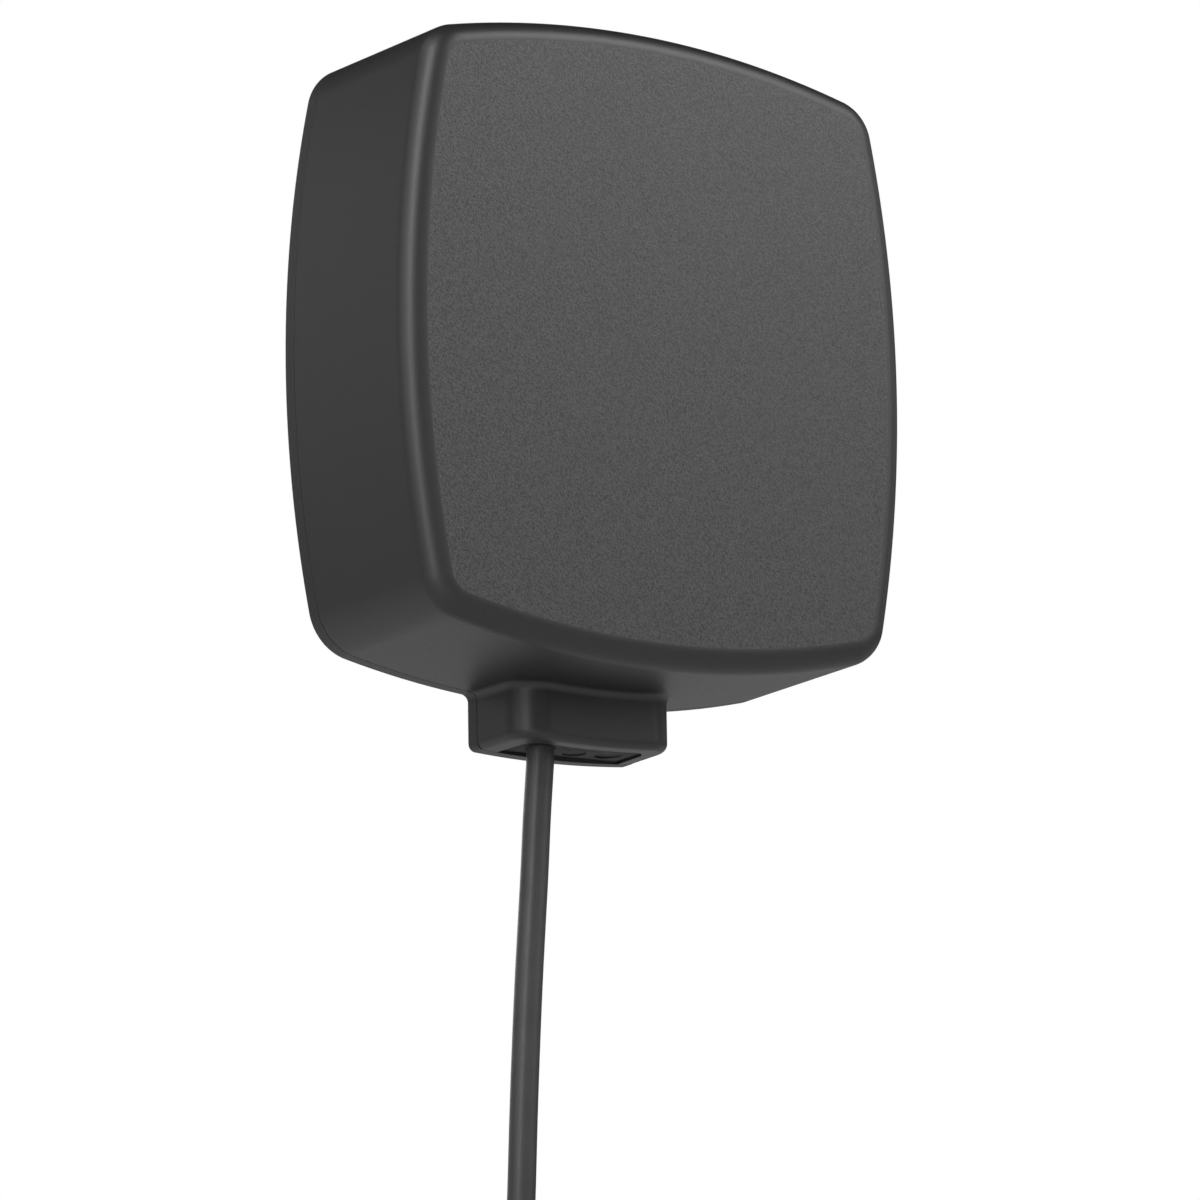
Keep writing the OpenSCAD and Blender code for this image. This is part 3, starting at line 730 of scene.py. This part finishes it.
def corner_centre():
    """Centre of the upper right corner's arc, where it touches the side's and the top's long arcs."""
    a, b = np.array((-SIDE_C, 0.0)), np.array((0.0, -TOP_C))
    ra, rb = SIDE_R - CORNER_R, TOP_R - CORNER_R
    span = np.linalg.norm(b - a)
    u = (b - a) / span
    along = (ra**2 - rb**2 + span**2) / (2 * span)
    return a + along * u + math.sqrt(ra**2 - along**2) * np.array((-u[1], u[0]))


CORNER = corner_centre()
SIDE_END = math.atan2(CORNER[1], CORNER[0] + SIDE_C)
TOP_START = math.atan2(CORNER[1] + TOP_C, CORNER[0])

OUTLET_HALF = 15.7
OUTLET_D = 16.0
OUTLET_LOW = HALF_H + 9.1
OUTLET_BOW_R = 180.0
OUTLET_CORNER_R = 5.5
BLEND_R = 1.4
FOOT_R = 1.4
PORT_HALF = 11.5
PORT_D = 12.6
PORT_CORNER_R = 3.5
PORT_DEEP = 5.0
LIP_R = 0.15
PATCH_HALF = 24.0
PATCH_D = 23.0

HALF_ARC, FULL_ARC, FRONT_STEPS, SIDE_STEPS = 8, 16, 14, 4
QUARTER = math.pi / 2


def taper(depth):
    """How far the drafted walls have moved in at a depth."""
    return DRAFT * depth


def rim_rows():
    """(move in, depth) of the three rows that round the cover's rim, a hair in front of the plate."""
    return [(RIM_R * share, RIM_D + RIM_R * (1 - share)) for share in (1.0, 0.3, 0.0)]


def arc_columns(centre, radius, start, end, steps):
    """Columns of an outline along an arc, without its last one: (centre, radius, outward direction).

    A negative radius makes a hollow arc."""
    angles = np.linspace(start, end, steps + 1)[:-1]
    return [(np.array(centre, float), radius, np.array((math.cos(a), math.sin(a)))) for a in angles]


def patch_columns():
    """The columns along the bottom that the outlet's patch of wall replaces."""
    steps = 2 * HALF_ARC + FRONT_STEPS
    angles = [-QUARTER + math.asin(x / TOP_R) for x in np.linspace(-PATCH_HALF, PATCH_HALF, steps + 1)]
    return [(np.array((0.0, TOP_C)), TOP_R, np.array((math.cos(a), math.sin(a)))) for a in angles]


def housing_columns(edge):
    """Columns anticlockwise round the housing.

    They run from an angle to the right of its lowest point to the same angle on the left."""
    cx, cz = CORNER
    bottom, top = (0.0, TOP_C), (0.0, -TOP_C)
    left, right = (SIDE_C, 0.0), (-SIDE_C, 0.0)
    half = 2 * QUARTER
    columns = arc_columns(bottom, TOP_R, -QUARTER + edge, -TOP_START, 8)
    columns += arc_columns((cx, -cz), CORNER_R, -TOP_START, -SIDE_END, 18)
    columns += arc_columns(right, SIDE_R, -SIDE_END, SIDE_END, 40)
    columns += arc_columns((cx, cz), CORNER_R, SIDE_END, TOP_START, 18)
    columns += arc_columns(top, TOP_R, TOP_START, half - TOP_START, 40)
    columns += arc_columns((-cx, cz), CORNER_R, half - TOP_START, half - SIDE_END, 18)
    columns += arc_columns(left, SIDE_R, half - SIDE_END, half + SIDE_END, 40)
    columns += arc_columns((-cx, -cz), CORNER_R, half + SIDE_END, half + TOP_START, 18)
    return columns + arc_columns(bottom, TOP_R, half + TOP_START, 3 * QUARTER - edge, 8)


def plate_columns():
    """Columns anticlockwise round the back plate, with the outlet's blends, legs, foot corners and foot."""
    blend_x = OUTLET_HALF + BLEND_R
    blend_z = TOP_C - math.sqrt((TOP_R + BLEND_R) ** 2 - blend_x**2)
    edge = math.asin(blend_x / (TOP_R + BLEND_R))
    foot_c = OUTLET_BOW_R - OUTLET_LOW
    foot_x = OUTLET_HALF - FOOT_R
    foot_z = foot_c - math.sqrt((OUTLET_BOW_R - FOOT_R) ** 2 - foot_x**2)
    turn = math.asin(foot_x / (OUTLET_BOW_R - FOOT_R))
    down, left = 3 * QUARTER, 2 * QUARTER
    columns = housing_columns(edge)
    columns += arc_columns((-blend_x, blend_z), -BLEND_R, down - edge, left, 8)
    columns += arc_columns((-foot_x, foot_z), FOOT_R, left, down - turn, 8)
    columns += arc_columns((0, foot_c), OUTLET_BOW_R, down - turn, down + turn, 16)
    columns += arc_columns((foot_x, foot_z), FOOT_R, down + turn, 2 * left, 8)
    return columns + arc_columns((blend_x, blend_z), -BLEND_R, 2 * left, down + edge, 8)


def place(columns, inset, depth):
    """Points of an outline moved in by inset, at a depth."""
    flat = [c + (r - inset) * d for c, r, d in columns]
    return np.array([(x, -depth, z) for x, z in flat])


def bottom_z(x, depth):
    """Height of the housing's bottom wall."""
    return TOP_C - np.sqrt((TOP_R - taper(depth)) ** 2 - x**2)


def foot_z(x, depth):
    """Height of the outlet's bottom face."""
    return -OUTLET_LOW + x**2 / (2 * OUTLET_BOW_R) + taper(depth)


# ------------------------------------------------------------------ front cover


def wall_rows():
    """(move in, depth) of the rows of the walls, from the rim to the start of the front edge."""
    rows = [(taper(d) + t, d) for t, d in rim_rows()]
    depths = np.linspace(RIM_D + RIM_R, PATCH_D, HALF_ARC + SIDE_STEPS + 1)[1:]
    return rows + [(taper(d), d) for d in depths]


def edge_rows(steps=12):
    """(move in, depth) of the rounded edge between the walls and the front face."""
    lean = math.atan(DRAFT)
    depth = DEPTH - EDGE_R
    inset = taper(depth) + EDGE_R / math.cos(lean)
    angles = np.linspace(lean, QUARTER, steps + 1)
    return [(inset - EDGE_R * math.cos(a), depth + EDGE_R * math.sin(a)) for a in angles]


def horseshoe(half, front, corner, rim):
    """An outline seen from below, as a curve open towards the wall.

    It gives the points (x, depth), their outward directions and how far each is moved in at the rim.
    The curve has as many points as the edge of the patch of wall round it."""
    points, outward, moved = [], [], []
    for inset, depth in rim:
        points.append((-(half - taper(depth)), depth))
        outward.append((-1.0, 0.0))
        moved.append(inset)
    start = front - corner
    for depth in np.linspace(rim[-1][1], start, SIDE_STEPS + 1)[1:]:
        points.append((-(half - taper(depth)), depth))
        outward.append((-1.0, 0.0))
        moved.append(0.0)
    cx = half - taper(start) - corner
    for a in np.linspace(0, QUARTER, FULL_ARC + 1)[1:]:
        points.append((-cx - corner * math.cos(a), start + corner * math.sin(a)))
        outward.append((-math.cos(a), math.sin(a)))
        moved.append(0.0)
    for x in np.linspace(-cx, 0, FRONT_STEPS // 2 + 1)[1:]:
        points.append((x, front))
        outward.append((0.0, 1.0))
        moved.append(0.0)
    points, outward, moved = np.array(points), np.array(outward), np.array(moved)
    mirror = np.array((-1.0, 1.0))
    return (
        np.vstack((points, points[-2::-1] * mirror)),
        np.vstack((outward, outward[-2::-1] * mirror)),
        np.concatenate((moved, moved[-2::-1])),
    )


def shoe_row(shoe, offset, lean, height):
    """One row along a horseshoe, offset outwards.

    lean is the skin's tilt from upright, a quarter turn where it faces down."""
    points, outward, moved = shoe
    flat = points + outward * (offset - moved * math.cos(lean))[:, None]
    z = height(points[:, 0] + outward[:, 0] * offset, points[:, 1] + outward[:, 1] * offset)
    return np.stack((flat[:, 0], -flat[:, 1], z + moved * math.sin(lean)), axis=1)


def mouth_row(mouth, offset, lean, lift):
    """One row round the recess's mouth.

    Its skin faces into the recess, so at the rim it moves away from it."""
    points, outward, moved = mouth
    flat = points + outward * (offset + moved * math.cos(lean))[:, None]
    z = foot_z(flat[:, 0], flat[:, 1]) + lift + moved * math.sin(lean)
    return np.stack((flat[:, 0], -flat[:, 1], z), axis=1)


def add_outlet(skin):
    """The patch of bottom wall, the blend, the outlet's walls and foot, and the recess for its insert."""
    rim = rim_rows()
    shoe = horseshoe(OUTLET_HALF, OUTLET_D, OUTLET_CORNER_R, rim)
    upright, down = 0.0, QUARTER

    def blend_row(a):
        lift = BLEND_R * (1 - math.sin(a))
        return shoe_row(shoe, BLEND_R * (1 - math.cos(a)), a, lambda x, d: bottom_z(x, d) - lift)

    def wall_row(share):
        def height(x, d):
            return (bottom_z(x, d) - BLEND_R) * (1 - share) + (foot_z(x, d) + FOOT_R) * share
        return shoe_row(shoe, 0.0, upright, height)

    def foot_row(a):
        lift = FOOT_R * (1 - math.sin(a))
        return shoe_row(shoe, -FOOT_R * (1 - math.cos(a)), a, lambda x, d: foot_z(x, d) + lift)

    blend = [blend_row(a) for a in np.linspace(down, upright, 9)]
    columns, rows = patch_columns(), wall_rows()
    left = [place(columns[:1], t, d)[0] for t, d in rows]
    front = place(columns, *rows[-1])[1:-1]
    right = [place(columns[-1:], t, d)[0] for t, d in rows][::-1]
    border = np.array(left + list(front) + right)
    patch = []
    for share in (0.0, 0.25, 0.5, 0.72, 0.88, 1.0):
        row = border * (1 - share) + blend[0] * share
        if 0 < share < 1:
            row[:, 2] = bottom_z(row[:, 0], -row[:, 1]) + shoe[2]
        patch.append(row)
    skin.grid(patch)
    skin.grid(blend)
    skin.grid([wall_row(share) for share in (0.0, 0.35, 0.7, 1.0)])
    foot = [foot_row(a) for a in np.linspace(upright, down, 9)]
    skin.grid(foot)

    mouth = horseshoe(PORT_HALF + taper(PORT_D), PORT_D, PORT_CORNER_R, rim)
    leans = np.linspace(down, upright, 4)
    lips = [mouth_row(mouth, LIP_R * math.cos(a), a, LIP_R * (1 - math.sin(a))) for a in leans]
    skin.grid([foot[-1], foot[-1] * 0.5 + lips[0] * 0.5, lips[0]])
    skin.grid(lips)
    roof = mouth_row(mouth, 0.0, upright, PORT_DEEP)
    skin.grid([lips[-1], roof])
    half = len(roof) // 2
    skin.grid([roof[: half + 1], roof[: half - 1 : -1]])


def make_cover():
    """The cover in one skin: bowed walls, rounded front edge, flat face, outlet and a plain inside."""
    skin = Skin()
    patch = patch_columns()
    columns = housing_columns(math.asin(PATCH_HALF / TOP_R)) + patch[:1]
    rows = wall_rows()
    skin.grid([place(columns, t, d) for t, d in rows])
    whole = columns[:-1] + patch[:-1]
    depths = np.linspace(PATCH_D, DEPTH - EDGE_R, 6)[1:-1]
    rest = [rows[-1]] + [(taper(d), d) for d in depths] + edge_rows()
    skin.grid([place(whole, t, d) for t, d in rest], closed=True)
    skin.disc(place(whole, *rest[-1]), kind=1)
    add_outlet(skin)
    inner = WALL_T + 0.1
    cup = [place(whole, inner + taper(d), d) for d in (RIM_D, 12.0, 22.0, DEPTH - WALL_T)]
    skin.grid(cup, closed=True)
    skin.disc(cup[-1])
    cover = skin.solid("cover_shell", cap=True)
    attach(cover, "receiver")
    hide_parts("front_cover")
    dress(cover, "cover_plastic", eroded("cover_face", *COVER_FACE, Specular_IOR_Level=0.45))


make_cover()

# ------------------------------------------------------------------ back plate

BACK_EDGE_R = 0.35
STANDOFF_AT, STANDOFF_R, STANDOFF_HOLE_R, BOARD_D = 30.0, 4.0, 1.25, 10.0
BRACKET_HALF, BRACKET_BOSS_R, BRACKET_BOSS_D = 20.0, 4.5, 9.0
SCREW_HEAD_R, SCREW_HOLE_R = 3.3, 1.65
VENT_Z, VENT_R = 34.0, 1.5


def four(x, z):
    """Four places on the wall, mirrored in both its middle lines."""
    return [(sx * x, 0.0, sz * z) for sx in (-1, 1) for sz in (-1, 1)]


def pegs(name, places, rows):
    """Solids of revolution that point forwards from the wall, one at each place."""
    return [turned(f"{name}_{i}", rows, place, 48, forwards=True) for i, place in enumerate(places)]


def rod(radius, start, end):
    """The section of a plain rod."""
    return [(0, start), (radius, start), (radius, end), (0, end)]


def make_plate():
    """Back plate with its bosses, countersunk holes, insert seats and vent hole."""
    columns, front = plate_columns(), PLATE_T - RIM_R
    angles = np.linspace(0, QUARTER, 4)
    rows = [(BACK_EDGE_R * (1 - math.sin(a)), BACK_EDGE_R * (1 - math.cos(a))) for a in angles]
    rows += [(RIM_R * (1 - math.cos(a)), front + RIM_R * math.sin(a)) for a in angles]
    rings = [place(columns, inset + taper(depth), depth) for inset, depth in rows]
    skin = Skin()
    skin.grid(rings, closed=True)
    skin.plate(rings[0], kind=1)
    skin.plate(rings[-1])
    plate = skin.solid("wall_plate")
    standoffs, brackets = four(STANDOFF_AT, STANDOFF_AT), four(BRACKET_HALF, BRACKET_HALF)
    base, out = PLATE_T - 0.5, -0.5
    bosses = pegs("standoff", standoffs, rod(STANDOFF_R, base, BOARD_D))
    bosses += pegs("insert", brackets, rod(BRACKET_BOSS_R, base, BRACKET_BOSS_D))
    combine(plate, bosses, "UNION")
    countersink = [(0, out), (SCREW_HEAD_R, out), (SCREW_HOLE_R, 1.15), (SCREW_HOLE_R, 4), (0, 4)]
    seat = [(0, out), (3.35, out), (2.85, 0.05), (2.85, 6), (2.1, 6.1), (2.1, 7.8), (0, 7.8)]
    vent = [(0, out), (VENT_R + 0.7, out), (VENT_R, 0.2), (VENT_R, 4), (0, 4)]
    holes = pegs("screw", four(*np.abs(CORNER)), countersink)
    holes += pegs("seat", brackets, seat)
    holes += pegs("post", standoffs, rod(STANDOFF_HOLE_R, 4, BOARD_D + 1))
    holes += pegs("vent", [(0, 0, VENT_Z)], vent)
    combine(plate, holes, "DIFFERENCE")
    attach(plate, "receiver")
    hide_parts("back_plate")
    dress(plate, "plate_plastic", eroded("plate_face", *PLATE_FACE))


make_plate()

# ------------------------------------------------------------------ rubber insert and its plugs

INSERT_GAP = 0.15
INSERT_UP = 0.4
INSERT_EDGE = 0.06
PLUG_UP = 0.2
# The blanked ports: x, depth and radius.
BLANK_PORTS = [(0.4, 6.9, 2.0), (6.95, 7.4, 2.35)]


def insert_outline(gap):
    """(x, depth) points round the insert, from its back left corner."""
    r = PORT_CORNER_R - gap
    x, front = PORT_HALF - PORT_CORNER_R, PORT_D - PORT_CORNER_R
    left = [(-x - r * math.cos(a), front + r * math.sin(a)) for a in np.linspace(0, QUARTER, 13)]
    right = [(-px, pd) for px, pd in left[::-1]]
    return [(-PORT_HALF + gap, PLATE_T + 0.05)] + left + right + [(PORT_HALF - gap, PLATE_T + 0.05)]


def make_insert():
    """Rubber block that fills the outlet's opening, with a collar for the cable and two blanked ports."""
    skin = Skin()
    outline = np.array(insert_outline(INSERT_GAP))
    middle = np.array((0.0, 7.5))
    low = []
    for share in (1.0, 0.96, 0.8, 0.6, 0.4, 0.2):
        flat = middle + (outline - middle) * share
        low.append([(x, -d, foot_z(x, d) + INSERT_UP) for x, d in flat])
    top = [(x, -d, -OUTLET_LOW + PORT_DEEP - 0.3) for x, d in outline]
    skin.grid([top] + low, closed=True)
    skin.plate(top)
    skin.plate(low[-1])
    insert = skin.solid("port_insert")
    bottom, ends = -OUTLET_LOW, -OUTLET_LOW + PORT_DEEP + 1
    x, y, _ = LEAD_ROUTE[0]
    collar = [(0, bottom - 1), (CABLE_R + 0.2, bottom - 1), (CABLE_R + 0.2, bottom + 0.95)]
    collar += [(CABLE_R + 0.01, bottom + 0.95), (CABLE_R + 0.01, ends), (0, ends)]
    holes = [turned("collar", collar, (x, y, 0))]
    holes += [turned("blank", rod(r, bottom - 1, ends), (x, -d, 0)) for x, d, r in BLANK_PORTS]
    combine(insert, holes, "DIFFERENCE")
    soften(insert, INSERT_EDGE)
    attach(insert, "receiver")
    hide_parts("cable_grommet")
    dress(insert, "rubber")


def make_blank(number, x, depth, radius):
    """A blanking plug: a shallow dish with a rounded rim, just inside its port."""
    face = foot_z(x, depth) + INSERT_UP + PLUG_UP
    r = radius - 0.02
    rows = [(0.0, face + 0.03), (r - 0.75, face + 0.03), (r - 0.6, face + 0.005), (r - 0.3, face)]
    rows += round_corner((r - 0.06, face + 0.06), 0.06, -90, 0, 3)
    rows += [(r, face + 3.2), (0.0, face + 3.2)]
    plug = turned(f"port_blank_{number}", rows, (x, -depth, 0), 48)
    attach(plug, "receiver")
    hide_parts("blanking_plugs")
    dress(plug, "rubber")


make_insert()
for i, port in enumerate(BLANK_PORTS):
    make_blank(i + 1, *port)

# ------------------------------------------------------------------ studio

# Places and sizes here are in metres.
HOUSING_MIDDLE = Vector((0.0, -0.018, -0.005))
FLOOR_GAP = 0.03
FLOOR_HALF = 3.0
GLOW_NEAR, GLOW_FAR = 0.4, 1.0

# Lamps round the housing: azimuth from the front towards the right, elevation, distance, width, height
# and power, in degrees, metres and watts. They are weak, broad and even, with a narrow strip on the left.
LAMPS = {
    "front": (0, 15, 1.0, 0.5, 0.5, 0.8),
    "front_right": (45, 15, 1.0, 0.5, 0.5, 1.7),
    "right": (90, 15, 1.0, 0.5, 0.5, 0.5),
    "right_near": (45, 35, 0.6, 0.3, 0.3, 0.93),
    "right_high": (35, 45, 0.7, 0.2, 0.2, 1.1),
    "left": (270, 15, 1.0, 0.5, 0.5, 1.5),
    "left_strip": (300, 10, 0.8, 0.08, 0.5, 1.9),
    "left_near": (304, 35, 0.6, 0.2, 0.3, 1.25),
    "left_high": (292.5, 50, 1.0, 0.5, 0.5, 1.4),
    "left_low": (315, -25, 0.62, 0.5, 0.5, 0.45),
    "back_left_high": (247.5, 50, 1.0, 0.5, 0.5, 1.0),
    "back_left": (225, 15, 1.0, 0.5, 0.5, 0.55),
    "back": (180, 15, 1.0, 0.5, 0.5, 1.8),
    "back_low": (180, -25, 0.62, 0.5, 0.5, 0.25),
    "back_right": (135, 15, 1.0, 0.5, 0.5, 0.4),
}


def softbox(name, azimuth, elevation, distance, width, height, power):
    """A flat lamp that faces the housing."""
    data = bpy.data.lights.new(name, "AREA")
    data.shape, data.size, data.size_y = "RECTANGLE", width, height
    data.energy = power
    lamp = link(name, data)
    around, up = math.radians(azimuth), math.radians(elevation)
    towards = Vector((math.sin(around) * math.cos(up), -math.cos(around) * math.cos(up), math.sin(up)))
    lamp.location = HOUSING_MIDDLE + towards * distance
    lamp.rotation_euler = towards.to_track_quat("Z", "Y").to_euler()
    lamp.visible_camera = False


def make_world():
    """A backdrop that is white to the camera and gives no light."""
    world = bpy.data.worlds.new("studio")
    world.use_nodes = True
    nodes, links = world.node_tree.nodes, world.node_tree.links
    path, background = nodes.new("ShaderNodeLightPath"), nodes["Background"]
    links.new(path.outputs["Is Camera Ray"], background.inputs["Strength"])
    background.inputs["Color"].default_value = (1, 1, 1, 1)
    bpy.context.scene.world = world


def make_floor():
    """A pale floor just under the hanging connector, which fades into the white backdrop."""
    s = Surface("floor_paint", Emission_Color=(1, 1, 1, 1))
    away = s.node("ShaderNodeVectorMath", {0: s.place}, operation="LENGTH").outputs["Value"]
    s.links.new(s.span(away, GLOW_NEAR, GLOW_FAR, 1.5, 2.9), s.shader.inputs["Emission Strength"])
    s.colour(s.tint(s.noise(9.0, 3.0), (0.296, 0.296, 0.296), (0.304, 0.304, 0.304)))
    s.rough(s.span(s.noise(9.0, 4.0), 0.8, 0.85))
    level = cad_box[0].z - FLOOR_GAP
    corners = [(x * FLOOR_HALF, y * FLOOR_HALF, level) for x, y in ((-1, -1), (1, -1), (1, 1), (-1, 1))]
    mesh = bpy.data.meshes.new("floor")
    mesh.from_pydata(corners, [], [(0, 1, 2, 3)])
    mesh.materials.append(s.material)
    link("floor", mesh)


make_world()
for name, setting in LAMPS.items():
    softbox(name, *setting)
make_floor()
bpy.context.scene.view_settings.view_transform = "Standard"
